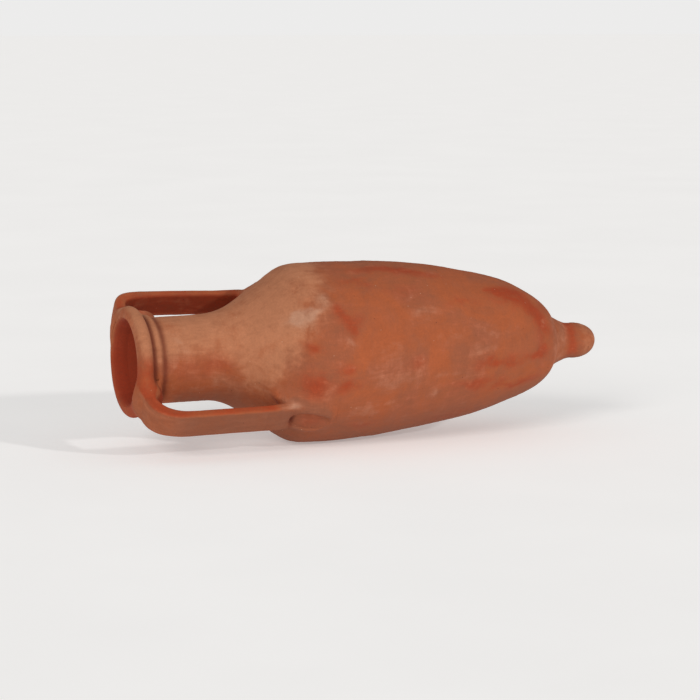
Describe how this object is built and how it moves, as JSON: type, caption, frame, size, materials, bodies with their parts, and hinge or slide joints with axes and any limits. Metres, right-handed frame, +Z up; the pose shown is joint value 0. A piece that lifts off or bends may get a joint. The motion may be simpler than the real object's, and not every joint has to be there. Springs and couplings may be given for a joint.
{
  "type": "amphora",
  "caption": "Unglazed terracotta amphora lying on its belly, open mouth with a rolled lip, two strap handles from lip to shoulder, and a small rounded knob toe.",
  "frame": {"origin": "on the surface that the belly rests on, under the middle of the vessel's bounding box", "axes": "+Z up; the vessel's axis runs level along X, with the mouth towards -X and the toe towards +X; the handles' plane leans 37.4 degrees from level, the front handle low towards -Y and the rear handle high towards +Y"},
  "size_m": [0.6, 0.2136, 0.2135],
  "materials": {
    "rim_clay": "fired terracotta, matt, pale bloom on the upper side",
    "neck_clay": "fired terracotta, matt, buff bloom",
    "shoulder_clay": "fired terracotta, matt, buff and grey-pink bloom with whitish patches",
    "belly_clay": "fired terracotta, matt, warm orange-brown with redder blotches and faint streaks",
    "toe_clay": "fired terracotta, matt, darker red band round the knob",
    "handle_clay": "fired terracotta, matt, pulled lengthwise",
    "lute_clay": "fired terracotta, matt, paler wiped slip"
  },
  "bodies": {
    "root": {"rim_lip": "rim_clay", "neck_collar": "neck_clay", "neck": "neck_clay", "shoulder": "shoulder_clay", "belly": "belly_clay", "toe_lute": "lute_clay", "toe_knob": "toe_clay", "front_handle": "handle_clay", "front_handle_rim_lute": "lute_clay", "front_handle_foot_lute": "lute_clay", "rear_handle": "handle_clay", "rear_handle_rim_lute": "lute_clay", "rear_handle_foot_lute": "lute_clay"}
  },
  "joints": []
}
